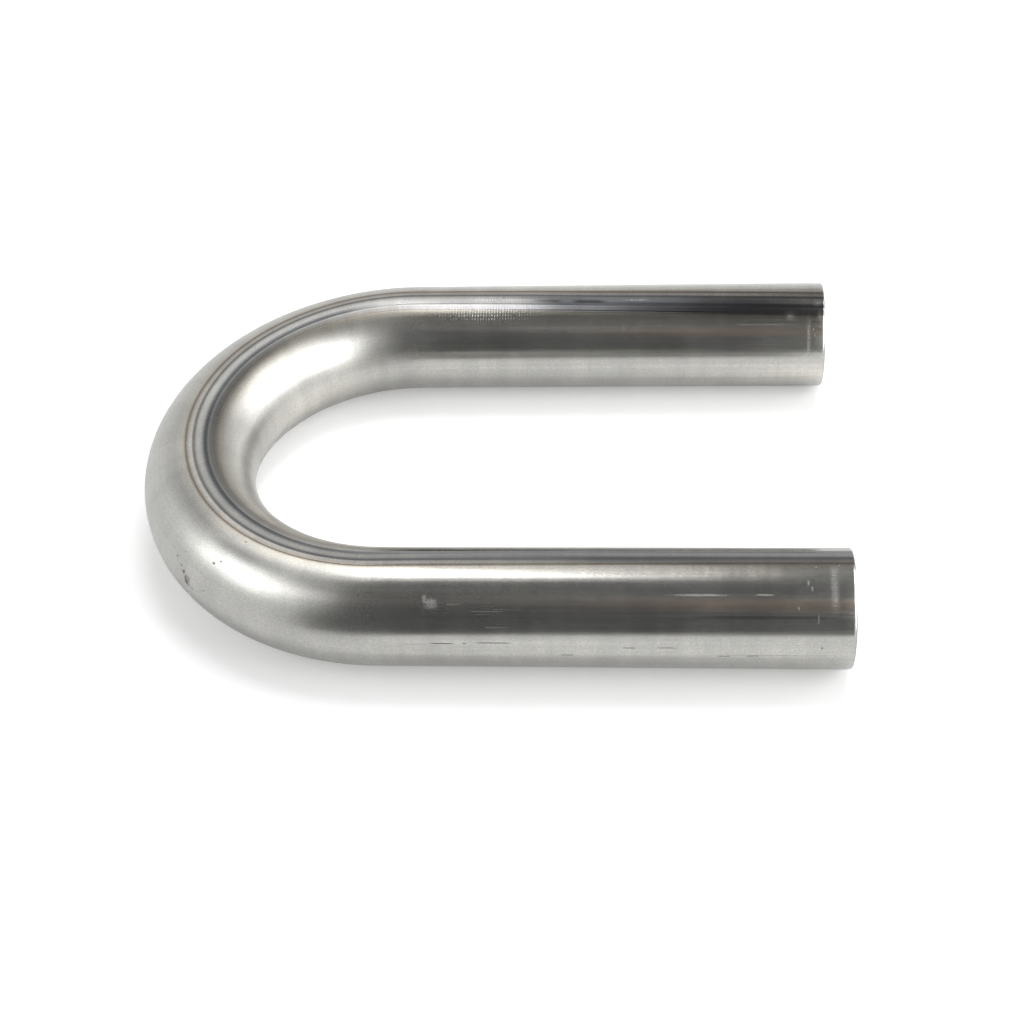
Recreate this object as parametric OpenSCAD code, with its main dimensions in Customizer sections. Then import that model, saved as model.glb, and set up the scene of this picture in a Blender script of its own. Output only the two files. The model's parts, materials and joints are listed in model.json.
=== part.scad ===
// Return bend: a seam-welded steel tube, bent once through half a turn, with two straight open legs.
// The tube lies flat. +X points to the open ends, +Y to the left leg seen from the bend, +Z is up.

/* [Tube] */
// Outside diameter of the tube
tube_od = 41.3; // [25:0.1:65]
// Wall thickness of the straight tube
wall = 1.65; // [1.2:0.05:4]

/* [Bend] */
// Radius of the bend, measured to the centre line of the tube
bend_radius = 76.2; // [45:0.1:160]
// How far bending moves the bore outwards at the crown: the outer wall thins by this, the inner one thickens
bore_shift = 0.25; // [0.05:0.05:0.5]

/* [Legs] */
// Straight length of each leg, from the end of the bend to the cut end
leg_length = 162; // [60:1:400]

/* [Cut ends] */
// Width of the bevel on the outer edge of a cut end
outer_bevel = 0.6; // [0.1:0.05:0.7]
// Width of the bevel on the inner edge of a cut end
inner_bevel = 0.3; // [0.1:0.05:0.4]

/* [Weld seam] */
// Width of the flat that is planed along the weld
weld_flat = 5.2; // [2:0.1:6]
// Width of the planed strip on each side of that flat
side_strip = 3; // [1:0.1:4]
// How far the ridges between these faces lie below the round of the tube
ridge_drop = 0.04; // [0.02:0.01:0.12]
// Angle from the top of the tube to the middle of the seam, towards the inside of the bend
seam_angle = 10; // [-90:1:90]

/* [Hidden] */
$fn = 128;
// The bend turns the tube back on itself
bend_turn = 180;
tube_r = tube_od / 2;
bore_r = tube_r - wall;
// Length by which a cutter runs past the face that it cuts
overrun = 1;
// The origin is under the middle of the part's box, so the bend centre lies this far along X
bend_centre_x = (bend_radius + tube_r - leg_length) / 2;
// The ridges beside the flat, and the lines where the planed strips run out into the round of the tube
ridge_angle = asin(weld_flat / tube_od);
ridge = [weld_flat / 2, tube_r * cos(ridge_angle) - ridge_drop];
run_out_angle = ridge_angle + 2 * asin(side_strip / tube_od);
run_out = tube_r * [sin(run_out_angle), cos(run_out_angle)];

// Section of the tube's outside. +X is the outside of the bend, +Y is up
module outer_section() {
    difference() {
        circle(r = tube_r);
        rotate(seam_angle)
            planing_cut();
    }
}

// What planing takes off the weld: all that lies above the flat and the two strips
module planing_cut() {
    clear = run_out + (run_out - ridge) * overrun / side_strip;
    top = tube_r + overrun;
    polygon([
        [-clear[0], top],
        [-clear[0], clear[1]],
        [-ridge[0], ridge[1]],
        ridge,
        clear,
        [clear[0], top]
    ]);
}

// Section of the bore
module bore_section() {
    circle(r = bore_r);
}

// Carries a section round the bend and along a straight leg on each side
module along_tube(straight) {
    rotate(90)
        rotate_extrude(angle = bend_turn)
            translate([bend_radius, 0])
                children();
    on_each_leg()
        linear_extrude(straight)
            children();
}

// Places a shape on both legs, with its own +Z along the leg and its own +X away from the other leg
module on_each_leg() {
    for (side = [0, 1])
        mirror([0, side, 0])
            translate([0, bend_radius, 0])
                rotate([90, 0, 90])
                    children();
}

// Bevels both edges of a cut end, which lies at the height of the leg's length
module end_bevels() {
    translate([0, 0, leg_length])
        rotate_extrude() {
            polygon([
                [tube_r - outer_bevel - overrun, overrun],
                [tube_r + overrun, overrun],
                [tube_r + overrun, -outer_bevel - overrun]
            ]);
            polygon([
                [0, overrun],
                [bore_r + inner_bevel + overrun, overrun],
                [bore_r - overrun, -inner_bevel - overrun],
                [0, -inner_bevel - overrun]
            ]);
        }
}

module return_bend() {
    color("silver")
        translate([bend_centre_x, 0, tube_r])
            difference() {
                along_tube(leg_length)
                    outer_section();
                translate([-bore_shift, 0, 0])
                    along_tube(leg_length + bore_shift + overrun)
                        bore_section();
                on_each_leg()
                    end_bevels();
            }
}

return_bend();
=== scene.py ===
"""Return bend: a seam-welded bare steel tube, bent through half a turn, lying on a white floor."""

import json
import math
from types import SimpleNamespace

import bmesh
import bpy
from mathutils import Matrix, Vector


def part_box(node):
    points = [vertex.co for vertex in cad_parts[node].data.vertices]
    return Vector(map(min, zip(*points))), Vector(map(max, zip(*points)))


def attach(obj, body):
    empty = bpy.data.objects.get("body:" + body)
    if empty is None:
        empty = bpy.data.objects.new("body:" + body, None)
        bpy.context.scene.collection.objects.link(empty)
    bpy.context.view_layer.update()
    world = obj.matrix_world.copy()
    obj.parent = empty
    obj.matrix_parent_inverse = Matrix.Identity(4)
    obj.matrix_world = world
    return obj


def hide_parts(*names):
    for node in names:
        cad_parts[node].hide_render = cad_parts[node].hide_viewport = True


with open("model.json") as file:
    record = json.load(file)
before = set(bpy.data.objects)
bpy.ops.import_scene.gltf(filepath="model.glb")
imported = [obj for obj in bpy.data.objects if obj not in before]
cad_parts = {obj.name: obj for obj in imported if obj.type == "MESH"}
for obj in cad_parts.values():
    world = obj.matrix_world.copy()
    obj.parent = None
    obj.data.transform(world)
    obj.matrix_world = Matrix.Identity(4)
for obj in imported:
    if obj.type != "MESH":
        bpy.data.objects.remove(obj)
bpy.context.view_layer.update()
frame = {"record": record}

# Sizes of the tube in metres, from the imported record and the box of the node
MM = 0.001
mounts = {mount["name"]: mount for mount in frame["record"]["mounts"]}
high_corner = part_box("return_bend")[1]
tube_radius = mounts["left_leg_outside"]["dims"]["r_mm"] * MM
bore_radius = mounts["left_leg_bore"]["dims"]["r_mm"] * MM
bend_radius = mounts["left_leg_outside"]["pos_m"][1]
axis_height = mounts["left_leg_outside"]["pos_m"][2]
# The origin is under the middle of the part's box
bend_centre_x = tube_radius + bend_radius - high_corner[0]
leg_length = high_corner[0] - bend_centre_x
half_arc = math.pi / 2 * bend_radius
half_length = half_arc + leg_length

# Rounding of a deburred cut end: along the tube and into the wall, outside and inside
outer_round = (1.2 * MM, 0.6 * MM)
inner_round = (0.4 * MM, 0.3 * MM)
# Angle of the seam's middle from the top of the tube, outwards
seam_angle = math.radians(-10)
# How far the seam strays from that angle: millimetres along the tube from the crown, degrees
seam_wander = (
    (-280, -5.8),
    (-195, 0.5),
    (-137, 4),
    (-60, 4.4),
    (-20, 2.4),
    (20, -0.4),
    (100, -2.8),
    (150, -5.1),
    (280, -8.1),
)
# Most that the seam could stray to either side, in degrees
wander_span = 10

# Steps of the mesh along a leg and round the bend, outside and in the bore, and round the edges of a cut end
outer_leg_steps = 44
outer_bend_steps = 120
bore_leg_steps = 24
bore_bend_steps = 72
outer_round_steps = 6
inner_round_steps = 3
# Steps round the tube: fine between the two angles from the top where the seam runs, coarse elsewhere
fine_from = math.radians(-36)
fine_to = math.radians(16)
fine_steps = 124
coarse_steps = 104

# Sizes that go into the tree that planes and bends the tube
tube_sizes = {
    "Tube Radius": tube_radius,
    "Bore Radius": bore_radius,
    "Bend Radius": bend_radius,
    "Bend Centre X": bend_centre_x,
    "Axis Height": axis_height,
    "Half Length": half_length,
    # The bore lies a little outwards in the bend, where the outer wall is stretched thin
    "Bore Shift": 0.25 * MM,
    # The planed weld seam: a flat, a strip on each side of it, and the grooves that the planing tool left
    "Seam Angle": seam_angle,
    "Weld Flat": 5.2 * MM,
    "Side Strip": 3 * MM,
    "Ridge Drop": 0.04 * MM,
    "Groove Depth": 0.05 * MM,
    "Groove Half Width": 0.35 * MM,
    # What is left of the weld bead on the flat: a low rounded ridge, a little outwards of the middle
    "Bead Rise": 0.1 * MM,
    "Bead Middle": 0.3 * MM,
    "Bead Half Width": 2.3 * MM,
    # Creases on the inside of the bend: the whole range of their height, their length and their width
    "Crease Height": 0.8 * MM,
    "Crease Length": 38 * MM,
    "Crease Width": 9 * MM,
}


# Helpers that make objects and node trees
def new_object(name, data):
    """A new object in the scene."""
    made = bpy.data.objects.new(name, data)
    bpy.context.scene.collection.objects.link(made)
    return made


def new_mesh(name, shape):
    """A mesh from a finished bmesh, which is then freed."""
    mesh = bpy.data.meshes.new(name)
    shape.to_mesh(mesh)
    shape.free()
    return mesh


def add_node(tree, kind, **settings):
    """A new node of this kind, with its own settings."""
    made = tree.nodes.new(kind)
    for name, value in settings.items():
        setattr(made, name, value)
    return made


def feed(tree, socket, value):
    """Links a socket to another node's output, or gives it a plain value."""
    if isinstance(value, bpy.types.NodeSocket):
        tree.links.new(value, socket)
    else:
        socket.default_value = value


def calc(tree, operation, *terms, clamp=False):
    """The output of a Math node."""
    made = add_node(tree, "ShaderNodeMath", operation=operation, use_clamp=clamp)
    for socket, term in zip(made.inputs, terms):
        feed(tree, socket, term)
    return made.outputs[0]


def product(tree, *values):
    """Several values multiplied together."""
    whole = values[0]
    for value in values[1:]:
        whole = calc(tree, "MULTIPLY", whole, value)
    return whole


def largest(tree, *values):
    """The largest of several values."""
    whole = values[0]
    for value in values[1:]:
        whole = calc(tree, "MAXIMUM", whole, value)
    return whole


def from_axis(tree, out, up):
    """Distance from the axis of the straight tube."""
    return calc(tree, "SQRT", calc(tree, "ADD", calc(tree, "POWER", out, 2), calc(tree, "POWER", up, 2)))


def combine(tree, x, y, z):
    """A vector from three values."""
    made = add_node(tree, "ShaderNodeCombineXYZ")
    for socket, term in zip(made.inputs, (x, y, z)):
        feed(tree, socket, term)
    return made.outputs[0]


def separate(tree, vector):
    """The three values of a vector."""
    made = add_node(tree, "ShaderNodeSeparateXYZ")
    feed(tree, made.inputs[0], vector)
    return made.outputs[0], made.outputs[1], made.outputs[2]


def noise(tree, vector, detail, roughness):
    """Noise whose grains are about one unit of the vector across."""
    made = add_node(tree, "ShaderNodeTexNoise")
    feed(tree, made.inputs["Vector"], vector)
    made.inputs["Scale"].default_value = 1
    made.inputs["Detail"].default_value = detail
    made.inputs["Roughness"].default_value = roughness
    return made.outputs["Fac"]


def between(tree, value, low, high):
    """0 at low, 1 at high, smooth between them."""
    made = add_node(tree, "ShaderNodeMapRange", interpolation_type="SMOOTHSTEP")
    for name, number in (("Value", value), ("From Min", low), ("From Max", high)):
        feed(tree, made.inputs[name], number)
    return made.outputs["Result"]


def new_inputs(tree, *names):
    """Named float inputs on a node group."""
    for name in names:
        tree.interface.new_socket(name=name, in_out="INPUT", socket_type="NodeSocketFloat")


# The straight tube, before planing and bending
def quarter_round(steps, mid_along, mid_radius, along_size, radial_size, start):
    """Points (along, radius) on a quarter of an ellipse, from the angle start on."""
    points = []
    for step in range(steps + 1):
        angle = start + math.pi / 2 * step / steps
        points.append((mid_along + along_size * math.sin(angle), mid_radius + radial_size * math.cos(angle)))
    return points


def spread(start, end, count):
    """Evenly spaced values from start up to, but not including, end."""
    return [start + (end - start) * step / count for step in range(count)]


def wall_outline():
    """The wall cut lengthwise, as a closed loop of (along, radius): outside, right end, bore, left end."""
    outer_end = half_length - outer_round[0]
    inner_end = half_length - inner_round[0]
    outside = spread(-outer_end, -half_arc, outer_leg_steps)[1:]
    outside += spread(-half_arc, half_arc, outer_bend_steps)
    outside += spread(half_arc, outer_end, outer_leg_steps)
    inside = spread(inner_end, half_arc, bore_leg_steps)[1:]
    inside += spread(half_arc, -half_arc, bore_bend_steps)
    inside += spread(-half_arc, -inner_end, bore_leg_steps)
    outer_mid = tube_radius - outer_round[1]
    inner_mid = bore_radius + inner_round[1]
    loop = [(along, tube_radius) for along in outside]
    loop += quarter_round(outer_round_steps, outer_end, outer_mid, *outer_round, 0)
    loop += quarter_round(inner_round_steps, inner_end, inner_mid, *inner_round, math.pi / 2)
    loop += [(along, bore_radius) for along in inside]
    loop += quarter_round(inner_round_steps, -inner_end, inner_mid, *inner_round, math.pi)
    loop += quarter_round(outer_round_steps, -outer_end, outer_mid, *outer_round, math.pi * 3 / 2)
    return loop


def section_angles():
    """Angles round the tube from the top, outwards: close together where the seam runs."""
    return spread(fine_from, fine_to, fine_steps) + spread(fine_to, fine_from + 2 * math.pi, coarse_steps)


def straight_tube():
    """A mesh of the straight tube: x along it from the middle, y outwards, z up."""
    shape = bmesh.new()
    loop = wall_outline()
    rings = []
    for angle in section_angles():
        ring = []
        for along, radius in loop:
            ring.append(shape.verts.new((along, radius * math.sin(angle), radius * math.cos(angle))))
        rings.append(ring)
    for here, ring in enumerate(rings):
        next_ring = rings[(here + 1) % len(rings)]
        for place in range(len(loop)):
            following = (place + 1) % len(loop)
            shape.faces.new((ring[place], next_ring[place], next_ring[following], ring[following]))
    bmesh.ops.recalc_face_normals(shape, faces=shape.faces)
    mesh = new_mesh("steel_return_bend", shape)
    mesh.polygons.foreach_set("use_smooth", [True] * len(mesh.polygons))
    return mesh


# The tree that planes the weld and bends the straight tube round the crown
def turned(tree, first, second, angle):
    """The two places of a point in a plane, after a turn through an angle."""
    sine = calc(tree, "SINE", angle)
    cosine = calc(tree, "COSINE", angle)
    return (
        calc(tree, "SUBTRACT", product(tree, first, cosine), product(tree, second, sine)),
        calc(tree, "ADD", product(tree, first, sine), product(tree, second, cosine)),
    )


def seam_middle(tree, given, along):
    """Angle of the seam's middle at a place along the tube."""
    stray = add_node(tree, "ShaderNodeFloatCurve")
    points = stray.mapping.curves[0].points
    for index, (distance, degrees) in enumerate(seam_wander):
        place = (distance * MM / half_length / 2 + 0.5, degrees / wander_span / 2 + 0.5)
        # A new curve has two points already
        if index < 2:
            points[index].location = place
        else:
            points.new(*place)
    stray.mapping.update()
    share = calc(tree, "DIVIDE", along, product(tree, given["Half Length"], 2))
    feed(tree, stray.inputs["Value"], calc(tree, "ADD", share, 0.5))
    swing = calc(tree, "SUBTRACT", stray.outputs[0], 0.5)
    return calc(tree, "ADD", given["Seam Angle"], product(tree, swing, math.radians(2 * wander_span)))


def groove(tree, given, across, middle):
    """Depth of a V groove along the tube, at a distance from the seam's middle."""
    off = calc(tree, "ABSOLUTE", calc(tree, "SUBTRACT", across, middle))
    share = calc(tree, "SUBTRACT", 1, calc(tree, "DIVIDE", off, given["Groove Half Width"]), clamp=True)
    return product(tree, share, given["Groove Depth"])


def bead(tree, given, across):
    """Height of what is left of the weld bead, at a distance from the seam's middle."""
    off = calc(tree, "SUBTRACT", across, given["Bead Middle"])
    off = calc(tree, "DIVIDE", off, given["Bead Half Width"])
    share = calc(tree, "SUBTRACT", 1, calc(tree, "POWER", calc(tree, "ABSOLUTE", off), 2), clamp=True)
    return product(tree, share, given["Bead Rise"])


def planed_height(tree, given, across, height):
    """Height after planing: a flat, then a strip on each side that runs out into the round of the tube."""
    radius = given["Tube Radius"]
    half_flat = product(tree, given["Weld Flat"], 0.5)
    half_strip = product(tree, given["Side Strip"], 0.5)
    ridge_turn = calc(tree, "ARCSINE", calc(tree, "DIVIDE", half_flat, radius))
    half_strip_turn = calc(tree, "ARCSINE", calc(tree, "DIVIDE", half_strip, radius))
    run_out_turn = calc(tree, "MULTIPLY_ADD", half_strip_turn, 2, ridge_turn)
    ridge_height = product(tree, radius, calc(tree, "COSINE", ridge_turn))
    ridge_height = calc(tree, "SUBTRACT", ridge_height, given["Ridge Drop"])
    run_out_across = product(tree, radius, calc(tree, "SINE", run_out_turn))
    run_out_height = product(tree, radius, calc(tree, "COSINE", run_out_turn))
    fall = calc(tree, "SUBTRACT", ridge_height, run_out_height)
    slope = calc(tree, "DIVIDE", fall, calc(tree, "SUBTRACT", run_out_across, half_flat))
    past_flat = calc(tree, "SUBTRACT", calc(tree, "ABSOLUTE", across), half_flat)
    past_flat = calc(tree, "MAXIMUM", past_flat, 0)
    planed = calc(tree, "SUBTRACT", ridge_height, product(tree, slope, past_flat))
    cut_edge = calc(tree, "SUBTRACT", run_out_across, given["Groove Half Width"])
    for edge in (cut_edge, half_flat, product(tree, cut_edge, -1)):
        planed = calc(tree, "SUBTRACT", planed, groove(tree, given, across, edge))
    planed = calc(tree, "ADD", planed, bead(tree, given, across))
    return calc(tree, "MINIMUM", height, planed)


def crease_swell(tree, given, along, out, up, arc):
    """Share by which slight creases swell the inside of the bend, where the wall is pressed together."""
    radius = given["Tube Radius"]
    from_crown = calc(tree, "DIVIDE", calc(tree, "ABSOLUTE", along), arc)
    pressed = calc(tree, "SUBTRACT", 1, calc(tree, "POWER", from_crown, 4), clamp=True)
    inner = calc(tree, "DIVIDE", product(tree, out, -1), radius, clamp=True)
    crease_along = calc(tree, "DIVIDE", along, given["Crease Length"])
    crease_round = [calc(tree, "DIVIDE", value, given["Crease Width"]) for value in (out, up)]
    waves = noise(tree, combine(tree, crease_along, *crease_round), 0, 0.5)
    height = calc(tree, "DIVIDE", given["Crease Height"], radius)
    swell = product(tree, calc(tree, "SUBTRACT", waves, 0.5), product(tree, pressed, inner), height)
    return calc(tree, "ADD", swell, 1)


def bent_place(tree, given, along, out, up, in_bore, arc):
    """The bend: what lies within the arc turns round the crown, the rest runs on straight."""
    curved = calc(tree, "MAXIMUM", calc(tree, "MINIMUM", along, arc), product(tree, arc, -1))
    beyond = calc(tree, "SUBTRACT", along, curved)
    turn = calc(tree, "DIVIDE", curved, given["Bend Radius"])
    shift = product(tree, in_bore, given["Bore Shift"], calc(tree, "COSINE", turn))
    reach = calc(tree, "ADD", calc(tree, "ADD", given["Bend Radius"], out), shift)
    to_crown, to_right = turned(tree, reach, beyond, turn)
    x = calc(tree, "SUBTRACT", given["Bend Centre X"], to_crown)
    y = product(tree, to_right, -1)
    z = calc(tree, "ADD", given["Axis Height"], up)
    return combine(tree, x, y, z)


def changed(tree, geometry, kind, inputs, **settings):
    """The geometry after a node of this kind, with values for its other inputs."""
    made = add_node(tree, kind, **settings)
    feed(tree, made.inputs[0], geometry)
    for name, value in inputs.items():
        feed(tree, made.inputs[name], value)
    return made.outputs[0]


def store(tree, geometry, name, *values):
    """Keeps three values in metres on each point of the mesh, in millimetres, for the material."""
    vector = combine(tree, *[calc(tree, "DIVIDE", value, MM) for value in values])
    inputs = {"Name": name, "Value": vector}
    kind = "GeometryNodeStoreNamedAttribute"
    return changed(tree, geometry, kind, inputs, data_type="FLOAT_VECTOR", domain="POINT")


def bending_tree():
    """Geometry Nodes: plane the weld seam flat, then bend the tube and lay it on the floor."""
    tree = bpy.data.node_groups.new("plane_and_bend_tube", "GeometryNodeTree")
    tree.interface.new_socket(name="Geometry", in_out="INPUT", socket_type="NodeSocketGeometry")
    new_inputs(tree, *tube_sizes)
    tree.interface.new_socket(name="Finish", in_out="INPUT", socket_type="NodeSocketMaterial")
    tree.interface.new_socket(name="Geometry", in_out="OUTPUT", socket_type="NodeSocketGeometry")
    given = add_node(tree, "NodeGroupInput").outputs
    along, out, up = separate(tree, add_node(tree, "GeometryNodeInputPosition").outputs[0])

    # Distance across the seam and height above the tube's axis, square to the seam, where planing works
    middle = seam_middle(tree, given, along)
    across, height = turned(tree, out, up, middle)
    planed = planed_height(tree, given, across, height)
    planed_out, planed_up = turned(tree, across, planed, product(tree, middle, -1))

    # Creases, then the bend
    arc = product(tree, given["Bend Radius"], math.pi / 2)
    swell = crease_swell(tree, given, along, out, up, arc)
    mid_wall = product(tree, calc(tree, "ADD", given["Tube Radius"], given["Bore Radius"]), 0.5)
    in_bore = calc(tree, "LESS_THAN", from_axis(tree, out, up), mid_wall)
    swollen = [product(tree, value, swell) for value in (planed_out, planed_up)]
    place = bent_place(tree, given, along, *swollen, in_bore, arc)

    # Places on the straight tube and on the seam stay with the mesh for the finish
    mesh = store(tree, given["Geometry"], "straight_place", along, out, up)
    mesh = store(tree, mesh, "seam_place", across, height, 0)
    mesh = changed(tree, mesh, "GeometryNodeSetPosition", {"Position": place})
    # Bending mirrors the tube, so its faces are turned back outwards
    mesh = changed(tree, mesh, "GeometryNodeFlipFaces", {})
    mesh = changed(tree, mesh, "GeometryNodeRealizeInstances", {})
    mesh = changed(tree, mesh, "GeometryNodeSetMaterial", {"Material": given["Finish"]})
    feed(tree, add_node(tree, "NodeGroupOutput").inputs["Geometry"], mesh)
    return tree


def bent_tube(finish):
    """The finished tube: the straight mesh run through the tree, kept as a plain mesh."""
    straight = new_object("straight_tube", straight_tube())
    bender = straight.modifiers.new("plane_and_bend", "NODES")
    bender.node_group = bending_tree()
    values = {**tube_sizes, "Finish": finish}
    for socket in bender.node_group.interface.items_tree:
        if socket.in_out == "INPUT" and socket.name in values:
            bender[socket.identifier] = values[socket.name]
    evaluated = straight.evaluated_get(bpy.context.evaluated_depsgraph_get())
    mesh = bpy.data.meshes.new_from_object(evaluated)
    straight.modifiers.remove(bender)
    bpy.data.objects.remove(straight)
    mesh.name = "steel_return_bend"
    return new_object("steel_return_bend", mesh)


# The finish of the bare steel: colours are linear, places on the tube are millimetres along it from
# the crown, towards the right leg, and degrees round it from the top, outwards
plain_steel = (0.47, 0.467, 0.445)
dull_steel = (0.43, 0.426, 0.405)
# Lighter steel of rubs, also used as a painted highlight on the seam
rubbed_steel_and_painted_highlight = (0.6, 0.59, 0.58)
brown_tint = (0.52, 0.44, 0.375)
painted_glint_white = (0.95, 0.935, 0.925)
rust_brown = (0.1, 0.058, 0.042)
scratch_black = (0.03, 0.029, 0.028)
# Grey of weld scale, also used as painted shade in a groove
scale_and_groove_shade_grey = (0.1, 0.104, 0.115)
dark_steel = (0.25, 0.25, 0.26)
seam_grey = (0.17, 0.17, 0.18)

# Colour of the weld seam by distance across it in millimetres, as a share of the plain steel: weld colours,
# with painted shade that darkens the planing grooves near 2.6 mm outwards and 5.2 mm to either side
seam_reach = 12
seam_bands_with_groove_shade = (
    (-12, (1, 1, 1)),
    (-9, (0.94, 0.92, 0.89)),
    (-7, (0.8, 0.77, 0.72)),
    (-6.3, (0.72, 0.68, 0.62)),
    (-5.6, (0.62, 0.57, 0.52)),
    (-5.1, (0.52, 0.5, 0.48)),
    (-3.3, (0.58, 0.57, 0.57)),
    (-2.75, (0.8, 0.8, 0.81)),
    (-2.35, (0.29, 0.3, 0.32)),
    (-1.6, (0.26, 0.27, 0.295)),
    (-0.9, (0.48, 0.49, 0.51)),
    (-0.3, (0.83, 0.84, 0.86)),
    (0.3, (0.96, 0.95, 0.95)),
    (1.2, (0.96, 0.94, 0.93)),
    (1.9, (0.7, 0.69, 0.68)),
    (2.35, (0.36, 0.36, 0.36)),
    (2.9, (0.38, 0.38, 0.38)),
    (3.45, (0.92, 0.9, 0.89)),
    (4.2, (0.92, 0.89, 0.87)),
    (4.9, (0.68, 0.63, 0.58)),
    (5.5, (0.36, 0.31, 0.27)),
    (6, (0.72, 0.67, 0.61)),
    (6.5, (0.97, 0.93, 0.88)),
    (8, (1, 0.98, 0.95)),
    (12, (1, 1, 1)),
)
# Tints on the weld seam, some of them scale and burn, some painted highlight, shade or reflection: middle
# along, middle across in millimetres, half length and half width of the tint, then its colour and its share
seam_tints = {
    "left_leg_scale": ((-216, -2, 80, 6.5), scale_and_groove_shade_grey, 0.84),
    "left_leg_burn": ((-238, -1.7, 52, 1.2), scratch_black, 0.5),
    "left_leg_strip": ((-203, -4, 55, 2.2), scratch_black, 0.55),
    "left_leg_blotch_a": ((-172.5, -0.6, 7, 1.1), scratch_black, 0.75),
    "left_leg_blotch_b": ((-189, -0.6, 8.5, 1.1), scratch_black, 0.75),
    # Painted highlight on the seam at the left end of the bend, and painted shade on the strip inside it
    "bend_shine": ((-132, -0.9, 48, 2.2), rubbed_steel_and_painted_highlight, 0.75),
    "bend_strip": ((-142, -3.9, 42, 1.7), dark_steel, 0.5),
    # Painted shade that widens the dark groove on the outer side of the seam
    "right_groove": ((120, 2.8, 100, 0.75), scale_and_groove_shade_grey, 0.6),
    # Painted reflection that lightens the inner strip of the seam on the right leg
    "right_leg_inner_strip": ((200, -3.6, 130, 2.4), plain_steel, 0.75),
    "right_leg_crest": ((255, 0.6, 170, 5.5), seam_grey, 0.8),
}
seam_tint_softness = 0.6

# Marks on the tube: middle along, middle round, half length, half turn
light_rubs = {
    "left_seam_flecks": (-208, -9, 7, 1.6),
    "right_leg_scuff": (140.6, 41.5, 3.2, 7.5),
    "right_leg_scuff_edge": (138.5, 37, 1.1, 6),
    "right_leg_rub_strip": (230.4, 32, 13, 1.4),
    "right_leg_rub_strip_short": (251.5, 31.6, 4, 1),
}
faint_rubs = {
    "left_seam_smear": (-268, -32, 3, 8),
    "left_end_smear": (-279.6, -31, 1.6, 9),
    "left_end_seam_smear": (-278.6, -16.5, 2.2, 7),
    "right_leg_scuff_line": (138.6, 50, 1.1, 27),
    "right_end_ring": (274.4, 26, 2, 30),
    "right_end_ring_top": (274.4, 9, 2, 12),
    "left_end_ring": (-275.2, -62, 1.1, 42),
}
light_scratches = {
    "right_leg_upper": (159.3, 48.2, 8, 0.6),
    "right_leg_lower": (162.2, 63.3, 5.7, 0.6),
    "right_leg_short": (148.1, 41.8, 3.2, 0.5),
    "right_end_nick_a": (265.8, 20, 0.4, 3.6),
    "right_end_nick_b": (267, 25.5, 0.4, 3.6),
    "right_end_dash": (262.5, 43.8, 0.3, 2.2),
    "right_end_dash_low": (269, 53.8, 0.3, 6),
    "right_end_dot_a": (268.6, 2.1, 0.4, 1),
    "right_end_dot_b": (276.2, 0.3, 0.4, 1),
    "left_leg_line": (-255.5, -41.3, 16.5, 0.45),
    "left_end_tick_a": (-277, -47, 0.3, 2),
    "left_end_tick_b": (-277.5, -53.5, 0.3, 2),
}
fine_scratches = {
    "right_leg": (152, 52, 38, 18),
}
rolled_specks = {
    "right_bend": (112, 52, 11, 7),
    "left_leg": (-208, -48, 13, 20),
}
chatter_rows = {
    "on_seam": (-152, -5.5, 17, 5),
    "below_seam": (-148, -27, 27, 14),
}
bend_ripples = {
    "left_bend": (-127, -84, 4, 16),
}
dark_dashes = {
    "right_leg_a": (144, 80.7, 4.8, 0.55),
    "right_leg_b": (151.6, 80.3, 0.8, 0.5),
    "right_leg_c": (161.4, 79.7, 7.1, 0.55),
    "right_leg_d": (206.8, 84.6, 2.4, 0.5),
    "right_leg_e": (219.3, 84.2, 3.9, 0.45),
    "right_leg_f": (238.3, 94.9, 2.7, 0.45),
    "right_leg_g": (247.8, 94.5, 2.5, 0.45),
    "right_leg_streak": (186, 94.8, 2.6, 0.5),
    "right_end_pit": (270.4, 83, 0.35, 0.9),
}
dark_lines = {
    "right_leg_start": (134.5, 81.6, 5, 0.5),
    "right_leg_side": (253, 52.2, 30, 2),
    "right_leg_low": (253, 93.3, 26, 0.5),
    "left_leg_low": (-243, -109.3, 41, 0.5),
}
brown_bands = {
    "right_leg": (250, 41, 80, 9.5),
    "left_leg": (-245, -49, 75, 8.5),
}
# Painted reflections: lighter bands on the legs and inside the bend, standing in for the floor and the room
# mirrored in the steel
painted_reflection_bands = {
    "right_leg": (180, 38, 118, 8),
    "inside_bend": (-55, -95, 50, 34),
    "left_leg": (-190, -46, 80, 9),
    "left_leg_low": (-285, -102, 75, 24),
}
# Smudges on the right leg: partly real handling marks, partly a painted highlight that lightens the colour
# near the top of the leg
smudges_and_painted_highlight = {
    "right_leg_patch": (233.8, 41, 9, 11),
    "right_leg_upper": (229, 7, 24, 13),
    "right_leg_upper_end": (251, 9, 10, 15),
}
# Painted shade: bands that darken the outside of the bend beside the seam
painted_shade_bands = {
    "outside_bend": (46, 15, 36, 19),
    "outside_bend_end": (73, 22, 24, 9),
}
rust_spots = {
    "smear": (59.4, 79.5, 1.7, 7.8),
    "streak": (57.5, 71.5, 0.9, 5),
    "spot_a": (53.2, 63.1, 0.6, 1.7),
    "spot_b": (55.8, 52.7, 0.55, 1.4),
    "spot_c": (56.2, 68, 0.5, 1.3),
    "spot_d": (65.9, 79.1, 0.45, 1.2),
    "spot_e": (67.1, 75.9, 0.45, 1.2),
    "spot_f": (68.1, 43.2, 0.7, 1.4),
    "spot_g": (70.3, 38, 0.4, 1),
    "spot_h": (61.8, 84, 0.5, 1.3),
    "spot_i": (73.5, 9.1, 0.6, 0.8),
}

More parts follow.
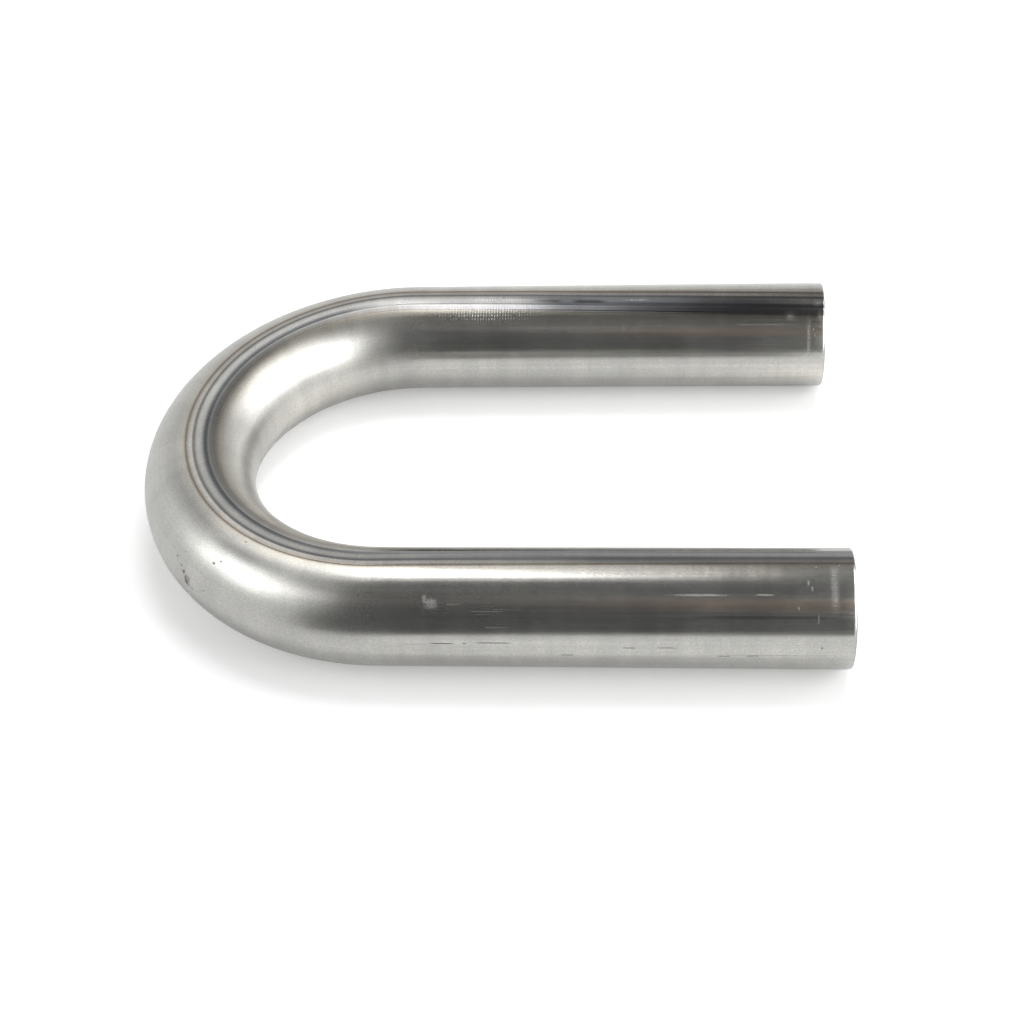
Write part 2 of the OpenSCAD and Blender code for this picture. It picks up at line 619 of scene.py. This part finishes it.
# Grain of the steel: grains for each millimetre along the tube and across it, then the detail and the
# roughness of the noise
grain_noise = {
    "draw_lines": (0.012, 1.3, 3, 0.6),
    "fine_lines": (0.05, 5, 2, 0.5),
    "rolled": (0.004, 0.5, 3, 0.6),
    "grit": (1.6, 2.2, 2, 0.7),
    "mottle": (0.05, 0.08, 3, 0.5),
    "stretch_peel": (0.9, 0.9, 1, 0.5),
    "smoke": (0.14, 0.03, 2, 0.6),
    "streaks": (1.7, 0.6, 3, 0.7),
    "pitting": (1.5, 1.5, 3, 0.7),
    "hairlines": (0.11, 3.2, 1, 0.5),
    "gaps": (0.5, 0.9, 2, 0.5),
    "runs": (1.5, 0.55, 2, 0.5),
    "uneven": (0.35, 0.5, 2, 0.5),
}
# Kinds of marks: the marks, how soft their edges are, how strongly they show, and the grain that breaks
# them up, with its values where they are gone and where they are whole
mark_kinds = {
    "rubs": (light_rubs, 0.8, 1, ("pitting", 0.1, 0.85)),
    "faint": (faint_rubs, 0.9, 0.3, ("smoke", 0.2, 0.6)),
    "scratches": (light_scratches, 0.7, 0.4, None),
    "hairs": (fine_scratches, 0.8, 0.26, ("hairlines", 0.66, 0.74)),
    "specks": (rolled_specks, 0.6, 1, ("pitting", 0.67, 0.73)),
    "chatter": (chatter_rows, 0.9, 1, ("streaks", 0.3, 0.55)),
    "ripples": (bend_ripples, 0.6, 1, None),
    "dashes": (dark_dashes, 0.5, 0.9, None),
    "lines": (dark_lines, 0.6, 0.4, None),
    "browning": (brown_bands, 0.9, 0.95, None),
    "painted_reflections": (painted_reflection_bands, 0.95, 1, None),
    # Smears: partly real smudges, partly painted highlight
    "smears_and_painted_highlight": (smudges_and_painted_highlight, 1, 1, ("smoke", 0.3, 0.65)),
    # Painted shade on the outside of the bend
    "painted_shade": (painted_shade_bands, 0.95, 1, None),
    "rust": (rust_spots, 0.6, 1, ("runs", 0.38, 0.56)),
}
# Chatter is a grid of ticks with gaps in it: pitch along in millimetres and round in degrees, then the
# values of the waves and of the grain where a tick is gone and where it is whole
chatter_pitch = 1.1
chatter_row_pitch = 4.2
chatter_tick = (-0.4, 0.9)
chatter_row = (-1.2, 0.4)
chatter_gap = (0.3, 0.5)
# Pitch of the ripples that are pressed into the left end of the bend, in millimetres
ripple_pitch = 0.9
# Ripples across the weld bead: pitch, how far the grain shifts them in radians, the middle of the bead that
# has them, and the distances from it where they are gone and where they are whole
bead_ripple_pitch = 1.3
bead_ripple_stray = 14
bead_ripple_middle = -0.6
bead_ripple_edge = (2.4, 1.2)

# Edges of the zones in millimetres, where a point isn't in the zone yet and where it is fully in it
arc_end = half_arc / MM
# Along the tube from the crown: the bend's satin finish, and the lines of the rolls on the legs
bend_zone = (arc_end + 15, arc_end - 20)
leg_line_zone = (arc_end + 10, arc_end + 60)
# Outwards in the bend: the inside of the bend. Away from the axis: the outside of the wall
inner_zone = (-5, -16)
outside_zone = ((bore_radius + tube_radius) / 2 / MM, tube_radius / MM - 0.3)
# Across from the seam's middle: the planed faces. In from a cut end: the burr
planed_zone = (6.2, 5.6)
burr_zone = (0.5, 0)

# Values of the tone where the steel is dull and where it is plain
steel_tone = (0.3, 0.7)
# Shading by the grain: its values where the steel is darkest and lightest, and what multiplies the colour
# at each of them
bead_shade = (-1, 1, (0.94, 0.94, 0.94), (1.06, 1.06, 1.06))
roll_shade = (0.3, 0.7, (0.94, 0.94, 0.94), (1.06, 1.06, 1.055))
grit_shade = (0.25, 0.75, (0.86, 0.86, 0.86), (1.14, 1.14, 1.14))
haze_shade = (0.3, 0.7, (0.95, 0.95, 0.955), (1.05, 1.05, 1.045))
# What multiplies the colour in painted reflection bands and in painted shade bands
painted_reflection_lift = (1.38, 1.35, 1.32)
painted_shade_multiplier = (0.68, 0.68, 0.69)
# What marks mix into the colour, one after the other: colour and share
mark_tints = {
    "worn": (rubbed_steel_and_painted_highlight, 0.5),
    # Chatter ticks are real tool marks; their near-white tint is a painted glint
    "chatter": (painted_glint_white, 0.55),
    "dark": (scratch_black, 1),
    "rust": (rust_brown, 0.8),
    "burr": (dark_steel, 1),
}
# Roughness of the legs, and what the zones, the grain and the marks add to it
leg_roughness = 0.21
added_roughness = {
    "in_bend": 0.14,
    "inner_bend": 0.02,
    "leg_lines": 0.12,
    "mottling": 0.08,
    "planed": -0.06,
    "scuffed": 0.25,
    "rusty": 0.4,
    "bore": 0.3,
}
# Share of the bare metal that wear, rust and the dull bore take away
dustiness = {
    "worn": 0.2,
    "rust": 1,
    "bore": 0.4,
}
# Relief in millimetres
relief_heights = {
    "leg_lines": 0.003,
    "fine_lines": 0.0004,
    "grit": 0.001,
    "peel": 0.0015,
    "ripple_waves": 0.004,
    "pressed_in": -0.004,
    "bead_waves": 0.0012,
}


def patch_group():
    """A soft-edged patch on the tube, from a place along it and a place round it."""
    tree = bpy.data.node_groups.new("tube_patch", "ShaderNodeTree")
    new_inputs(tree, "Along", "Around", "Mid Along", "Mid Around", "Half Length", "Half Turn", "Softness")
    tree.interface.new_socket(name="Mask", in_out="OUTPUT", socket_type="NodeSocketFloat")
    given = add_node(tree, "NodeGroupInput").outputs
    sharp = calc(tree, "SUBTRACT", 1, given["Softness"])
    masks = []
    for place, middle, half in (("Along", "Mid Along", "Half Length"), ("Around", "Mid Around", "Half Turn")):
        off = calc(tree, "ABSOLUTE", calc(tree, "SUBTRACT", given[place], given[middle]))
        masks.append(between(tree, calc(tree, "DIVIDE", off, given[half]), 1, sharp))
    feed(tree, add_node(tree, "NodeGroupOutput").inputs["Mask"], product(tree, *masks))
    return tree


def patch(tree, group, where, mark, softness):
    """The mask of one mark."""
    made = add_node(tree, "ShaderNodeGroup", node_tree=group)
    names = ("Along", "Around", "Mid Along", "Mid Around", "Half Length", "Half Turn", "Softness")
    for name, value in zip(names, (*where, *mark, softness)):
        feed(tree, made.inputs[name], value)
    return made.outputs["Mask"]


def wave(tree, place, pitch, lead=0):
    """A sine wave with this pitch along a place."""
    return calc(tree, "SINE", calc(tree, "MULTIPLY_ADD", place, 2 * math.pi / pitch, lead))


def mix_colour(tree, share, first, second, blend="MIX"):
    """One colour mixed into another."""
    made = add_node(tree, "ShaderNodeMix", data_type="RGBA", blend_type=blend)
    feed(tree, made.inputs["Factor"], share)
    colours = [socket for socket in made.inputs if socket.type == "RGBA"]
    for socket, colour in zip(colours, (first, second)):
        feed(tree, socket, (*colour, 1) if isinstance(colour, tuple) else colour)
    return [socket for socket in made.outputs if socket.type == "RGBA"][0]


def shaded(tree, colour, value, shade, share=1):
    """A colour made darker and lighter by a value."""
    low, high, dark, light = shade
    tone = mix_colour(tree, between(tree, value, low, high), dark, light)
    return mix_colour(tree, share, colour, tone, "MULTIPLY")


def weighted(tree, start, layers, weights):
    """A start value, and added to it each layer times its weight."""
    total = start
    for name, weight in weights.items():
        total = calc(tree, "MULTIPLY_ADD", layers[name], weight, total)
    return total


def place_on_tube(tree):
    """Where a point lies on the straight tube and on its seam."""
    straight = add_node(tree, "ShaderNodeAttribute", attribute_name="straight_place")
    seam = add_node(tree, "ShaderNodeAttribute", attribute_name="seam_place")
    along, out, up = separate(tree, straight.outputs["Vector"])
    across, height = separate(tree, seam.outputs["Vector"])[:2]
    around = calc(tree, "DEGREES", calc(tree, "ARCTAN2", out, up))
    return SimpleNamespace(along=along, out=out, up=up, around=around, across=across, height=height)


def steel_grain(tree, at):
    """Noise of the rolls, of the steel's own grain and of handling."""
    grain = {}
    for name, (along_share, round_share, detail, roughness) in grain_noise.items():
        shares = ((at.along, along_share), (at.out, round_share), (at.up, round_share))
        place = combine(tree, *[product(tree, value, share) for value, share in shares])
        grain[name] = noise(tree, place, detail, roughness)
    return grain


def steel_zones(tree, at, grain):
    """Masks of the zones that differ in finish, and the lines, grain and waves that only they have."""
    from_crown = calc(tree, "ABSOLUTE", at.along)
    in_bend = between(tree, from_crown, *bend_zone)
    outside = between(tree, from_axis(tree, at.out, at.up), *outside_zone)
    on_top = calc(tree, "GREATER_THAN", at.height, 0)
    planed = between(tree, calc(tree, "ABSOLUTE", at.across), *planed_zone)
    planed = product(tree, planed, on_top, outside)
    off_bead = calc(tree, "ABSOLUTE", calc(tree, "SUBTRACT", at.across, bead_ripple_middle))
    on_bead = product(tree, between(tree, off_bead, *bead_ripple_edge), in_bend, planed)
    bead_wave = wave(tree, at.along, bead_ripple_pitch, product(tree, grain["uneven"], bead_ripple_stray))
    lines = calc(tree, "SUBTRACT", grain["draw_lines"], 0.5)
    to_end = calc(tree, "SUBTRACT", half_length / MM, from_crown)
    return {
        "in_bend": in_bend,
        "on_leg": calc(tree, "SUBTRACT", 1, in_bend),
        "inner_bend": product(tree, in_bend, between(tree, at.out, *inner_zone)),
        "outside": outside,
        "bore": calc(tree, "SUBTRACT", 1, outside),
        "planed": planed,
        "burr": product(tree, between(tree, to_end, *burr_zone), outside),
        "leg_lines": product(tree, lines, between(tree, from_crown, *leg_line_zone)),
        "mottling": calc(tree, "SUBTRACT", grain["mottle"], 0.5),
        "peel": product(tree, grain["stretch_peel"], in_bend),
        "bead_waves": product(tree, bead_wave, on_bead),
    }


def mark_masks(tree, at, grain, group):
    """Masks of the kinds of marks, broken up by the grain, and of what several kinds have in common."""
    where = (at.along, at.around)
    masks = {}
    for kind, (marks, softness, strength, broken_by) in mark_kinds.items():
        whole = largest(tree, *[patch(tree, group, where, mark, softness) for mark in marks.values()])
        masks[kind] = product(tree, whole, strength)
        if broken_by:
            name, low, high = broken_by
            masks[kind] = product(tree, masks[kind], between(tree, grain[name], low, high))
    ticks = between(tree, wave(tree, at.along, chatter_pitch), *chatter_tick)
    rows = between(tree, wave(tree, at.around, chatter_row_pitch), *chatter_row)
    gaps = between(tree, grain["gaps"], *chatter_gap)
    masks["chatter"] = product(tree, masks["chatter"], ticks, rows, gaps)
    masks["ripple_waves"] = product(tree, wave(tree, at.along, ripple_pitch), masks["ripples"])
    # Painted reflections, and smears with their painted highlight: what lightens the colour
    masks["light"] = largest(tree, masks["painted_reflections"], masks["smears_and_painted_highlight"])
    masks["dark"] = largest(tree, masks["dashes"], masks["lines"])
    masks["cuts"] = largest(tree, masks["rubs"], masks["scratches"], masks["specks"], masks["hairs"])
    masks["worn"] = largest(tree, masks["cuts"], masks["faint"])
    masks["scuffed"] = largest(tree, masks["worn"], masks["chatter"])
    masks["rusty"] = largest(tree, masks["rust"], masks["dashes"])
    masks["pressed_in"] = largest(tree, masks["cuts"], masks["chatter"], masks["dashes"])
    return masks


def seam_colours_with_groove_shade(tree, at):
    """The colour bands of the weld seam with painted shade in its grooves, and 1 away from it."""
    ramp = add_node(tree, "ShaderNodeValToRGB")
    stops = ramp.color_ramp.elements
    while len(stops) < len(seam_bands_with_groove_shade):
        stops.new(0.5)
    for stop, (distance, colour) in zip(stops, seam_bands_with_groove_shade):
        stop.position = (distance + seam_reach) / 2 / seam_reach
        stop.color = (*colour, 1)
    share = calc(tree, "DIVIDE", calc(tree, "ADD", at.across, seam_reach), 2 * seam_reach)
    on_top = calc(tree, "GREATER_THAN", at.height, 0)
    feed(tree, ramp.inputs[0], product(tree, share, on_top))
    return ramp.outputs[0]


def steel_colour(tree, at, layers, group):
    """Colour of the steel: its tone, the seam's bands and tints, the grain, and the marks on top; some paint
    shade and highlights.
    """
    tone = product(tree, calc(tree, "ADD", layers["mottle"], layers["draw_lines"]), 0.5)
    colour = mix_colour(tree, between(tree, tone, *steel_tone), dull_steel, plain_steel)
    colour = mix_colour(tree, layers["outside"], colour, seam_colours_with_groove_shade(tree, at), "MULTIPLY")
    colour = shaded(tree, colour, layers["bead_waves"], bead_shade)
    for mark, tint, share in seam_tints.values():
        tinted = patch(tree, group, (at.along, at.across), mark, seam_tint_softness)
        colour = mix_colour(tree, product(tree, tinted, share, layers["planed"]), colour, tint)
    colour = shaded(tree, colour, layers["rolled"], roll_shade, layers["on_leg"])
    colour = shaded(tree, colour, layers["grit"], grit_shade)
    colour = shaded(tree, colour, layers["smoke"], haze_shade)
    colour = mix_colour(tree, layers["browning"], colour, brown_tint)
    # Painted reflections and painted highlight lighten the colour
    colour = mix_colour(tree, layers["light"], colour, painted_reflection_lift, "MULTIPLY")
    # Painted shade darkens the outside of the bend
    colour = mix_colour(tree, layers["painted_shade"], colour, painted_shade_multiplier, "MULTIPLY")
    for kind, (tint, share) in mark_tints.items():
        colour = mix_colour(tree, product(tree, layers[kind], share), colour, tint)
    return colour


def new_finish(name):
    """A material with an empty node tree."""
    finish = bpy.data.materials.new(name)
    finish.use_nodes = True
    finish.node_tree.nodes.clear()
    return finish


def steel_finish():
    """Bare drawn steel with its weld seam, rubs, scratches and a little rust, and painted shade and
    highlights.
    """
    finish = new_finish("bare_drawn_steel")
    tree = finish.node_tree
    group = patch_group()
    at = place_on_tube(tree)
    grain = steel_grain(tree, at)
    layers = {**grain, **steel_zones(tree, at, grain), **mark_masks(tree, at, grain, group)}
    rough = weighted(tree, leg_roughness, layers, added_roughness)
    dusty = calc(tree, "ADD", weighted(tree, 0, layers, dustiness), 0, clamp=True)
    bump = add_node(tree, "ShaderNodeBump")
    bump.inputs["Distance"].default_value = MM
    feed(tree, bump.inputs["Height"], weighted(tree, 0, layers, relief_heights))
    surface = add_node(tree, "ShaderNodeBsdfPrincipled")
    feed(tree, surface.inputs["Base Color"], steel_colour(tree, at, layers, group))
    feed(tree, surface.inputs["Roughness"], calc(tree, "ADD", rough, 0, clamp=True))
    feed(tree, surface.inputs["Metallic"], calc(tree, "SUBTRACT", 1, dusty))
    feed(tree, surface.inputs["Normal"], bump.outputs["Normal"])
    output = add_node(tree, "ShaderNodeOutputMaterial")
    feed(tree, output.inputs["Surface"], surface.outputs[0])
    return finish


# The studio: floor, cards, lights and camera, in metres
def from_tube(azimuth, elevation, distance):
    """A point seen from the tube: azimuth from +Y towards +X and elevation in degrees."""
    turn, rise = math.radians(azimuth), math.radians(elevation)
    flat = distance * math.cos(rise)
    return (flat * math.sin(turn), flat * math.cos(turn), distance * math.sin(rise))


# The floor: radius, number of sides, where it starts to fade and where it is gone, and its white. A little
# plain white is added where the camera looks at it, and a share of that where it shows in the steel
floor_radius = 1.2
floor_sides = 96
floor_fade = (0.55, 1.15)
floor_white = 0.95
floor_lift = 0.275
floor_lift_mirrored = 0.4
# Even light of the world on the floor and the tube
world_fill = 0.42
# Cards that stand upright: start and end on the floor plan, bottom, top and brightness
upright_cards = {
    "front_left_card": ((-0.13, -0.19), (0.01, -0.282), 0, 0.4, 0.12),
    "front_right_card": ((0.01, -0.282), (0.22, -0.42), 0, 0.4, 0.13),
    "room_card": ((-0.7, -2.6), (0.6, -2.6), 0.2, 2, 0.16),
    "back_left_card": ((-2, 1), (-0.1, 2.2), 0.55, 1.4, 0.74),
    "back_left_upper_card": ((-2, 1), (-0.1, 2.2), 1.4, 2, 1.05),
    "back_right_card": ((-0.1, 2.2), (1.6, 2.2), 0.68, 2, 0.5),
}
# Cards that hang flat under the ceiling: left, right, front, back and brightness
ceiling_height = 2
ceiling_cards = {
    "left_ceiling_card": (-1.2, 0.1, -2.6, 0.22, 0.21),
    "right_ceiling_card": (0.1, 0.9, -2.6, 0.62, 0.13),
    "back_ceiling_card": (0.1, 1.6, 0.62, 2.2, 0.27),
}
# Soft lamps: middle, width, height and brightness. Some show only in the steel, the others light the floor
steel_softboxes = {
    "top_softbox": ((-0.48, 0.85, 2), 0.6, 1.1, 3),
    "top_side_softbox": ((-0.04, 0.85, 2), 0.28, 1.1, 0.26),
    "left_softbox": (from_tube(-109, 36, 1.2), 0.66, 0.6, 2.8),
    "right_softbox": (from_tube(94, 37, 1.107), 1.45, 1.18, 3.15),
    "right_front_softbox": (from_tube(134, 20, 1.2), 0.42, 0.8, 3.15),
}
floor_softboxes = {
    "back_floor_light": ((0.25, 0.75, 2), 1, 1, 6),
    "left_floor_light": (from_tube(-109, 36, 1.2), 0.66, 0.6, 1.4),
    "right_floor_light": (from_tube(100, 33, 1.2), 1, 1, 2.5),
}
# The camera: the point that it looks at, its distance, its angles in degrees, and its lens in millimetres
camera_target = Vector((0.01105, -0.0285, 0.02065))
camera_distance = 0.6323
camera_azimuth = 6.59
camera_elevation = 43.03
camera_roll = -4.47
sensor_width = 36
focal_length = 60.93
camera_clip_start = 0.01


def grey(brightness):
    """A plain grey or white, as a colour socket takes it."""
    return (brightness, brightness, brightness, 1)


def looked_at(tree, mirrored):
    """1 where the camera looks straight at a surface, a share where it sees it in the steel, else 0."""
    rays = add_node(tree, "ShaderNodeLightPath").outputs
    by_way = calc(tree, "MAXIMUM", rays["Is Glossy Ray"], rays["Is Transmission Ray"])
    return calc(tree, "MAXIMUM", rays["Is Camera Ray"], product(tree, by_way, mirrored))


def coloured(tree, kind, brightness):
    """The shader of a node of this kind, in a plain grey or white."""
    made = add_node(tree, kind)
    made.inputs["Color"].default_value = grey(brightness)
    return made.outputs[0]


def mix_shaders(tree, share, first, second):
    """One shader mixed into another, or into nothing."""
    made = add_node(tree, "ShaderNodeMixShader")
    feed(tree, made.inputs[0], share)
    if first is not None:
        feed(tree, made.inputs[1], first)
    feed(tree, made.inputs[2], second)
    return made.outputs[0]


def white_floor():
    """A round white floor that fades out into the white surroundings."""
    shape = bmesh.new()
    bmesh.ops.create_circle(shape, cap_ends=True, segments=floor_sides, radius=floor_radius)
    mesh = new_mesh("white_floor", shape)
    floor = new_object("white_floor", mesh)
    finish = new_finish("white_paper")
    tree = finish.node_tree
    paper = coloured(tree, "ShaderNodeBsdfDiffuse", floor_white)
    white = coloured(tree, "ShaderNodeEmission", floor_lift)
    lifted = add_node(tree, "ShaderNodeAddShader")
    feed(tree, lifted.inputs[0], paper)
    feed(tree, lifted.inputs[1], mix_shaders(tree, looked_at(tree, floor_lift_mirrored), None, white))
    length = add_node(tree, "ShaderNodeVectorMath", operation="LENGTH")
    feed(tree, length.inputs[0], add_node(tree, "ShaderNodeTexCoord").outputs["Object"])
    fade = between(tree, length.outputs["Value"], *floor_fade)
    clear = add_node(tree, "ShaderNodeBsdfTransparent").outputs[0]
    output = add_node(tree, "ShaderNodeOutputMaterial")
    feed(tree, output.inputs["Surface"], mix_shaders(tree, fade, lifted.outputs[0], clear))
    mesh.materials.append(finish)


def plain_card(name, corners, brightness):
    """A card that only the steel mirrors, as the dimmer parts of a room."""
    mesh = bpy.data.meshes.new(name)
    mesh.from_pydata(corners, [], [tuple(range(len(corners)))])
    card = new_object(name, mesh)
    finish = new_finish(name + "_grey")
    tree = finish.node_tree
    output = add_node(tree, "ShaderNodeOutputMaterial")
    feed(tree, output.inputs["Surface"], coloured(tree, "ShaderNodeEmission", brightness))
    mesh.materials.append(finish)
    card.visible_camera = False
    card.visible_diffuse = False
    card.visible_shadow = False
    card.visible_transmission = False


def softbox(name, middle, width, height, brightness, in_steel):
    """A soft rectangular lamp that faces the tube, and either shows in the steel or lights the floor."""
    away = Vector(middle)
    lamp = bpy.data.lights.new(name, "AREA")
    lamp.shape = "RECTANGLE"
    lamp.size = width
    lamp.size_y = height
    lamp.energy = brightness * math.pi * width * height
    box = new_object(name, lamp)
    box.matrix_world = Matrix.Translation(away) @ away.to_track_quat("Z", "Y").to_matrix().to_4x4()
    box.visible_camera = False
    box.visible_glossy = in_steel
    box.visible_diffuse = not in_steel


def white_world():
    """White where the camera or the steel looks into it, and a faint even light elsewhere."""
    world = bpy.data.worlds.new("white_studio")
    bpy.context.scene.world = world
    world.use_nodes = True
    tree = world.node_tree
    tree.nodes.clear()
    fill = coloured(tree, "ShaderNodeBackground", world_fill)
    seen = coloured(tree, "ShaderNodeBackground", 1)
    output = add_node(tree, "ShaderNodeOutputWorld")
    feed(tree, output.inputs["Surface"], mix_shaders(tree, looked_at(tree, 1), fill, seen))


def studio():
    """Floor, cards, softboxes and the white world."""
    white_floor()
    for name, (start, end, bottom, top, brightness) in upright_cards.items():
        corners = [(*start, bottom), (*end, bottom), (*end, top), (*start, top)]
        plain_card(name, corners, brightness)
    for name, (left, right, front, back, brightness) in ceiling_cards.items():
        plan = ((left, front), (right, front), (right, back), (left, back))
        plain_card(name, [(*corner, ceiling_height) for corner in plan], brightness)
    for name, box in steel_softboxes.items():
        softbox(name, *box, True)
    for name, box in floor_softboxes.items():
        softbox(name, *box, False)
    white_world()


def photo_camera():
    """The camera where the photograph was taken from."""
    azimuth = math.radians(camera_azimuth)
    elevation = math.radians(camera_elevation)
    roll = math.radians(camera_roll)
    forward = Vector((
        -math.sin(azimuth) * math.cos(elevation),
        math.cos(azimuth) * math.cos(elevation),
        -math.sin(elevation),
    ))
    level = forward.cross(Vector((0, 0, 1))).normalized()
    upright = level.cross(forward)
    right = math.cos(roll) * level + math.sin(roll) * upright
    up = -math.sin(roll) * level + math.cos(roll) * upright
    lens = bpy.data.cameras.new("photo_camera")
    lens.sensor_width = sensor_width
    lens.lens = focal_length
    lens.clip_start = camera_clip_start
    camera = new_object("photo_camera", lens)
    facing = Matrix((right, up, -forward)).transposed().to_4x4()
    camera.matrix_world = Matrix.Translation(camera_target - forward * camera_distance) @ facing
    bpy.context.scene.camera = camera


bpy.context.scene.view_settings.view_transform = "Standard"
photo_camera()
studio()
tube = bent_tube(steel_finish())
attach(tube, "root")
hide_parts("return_bend")
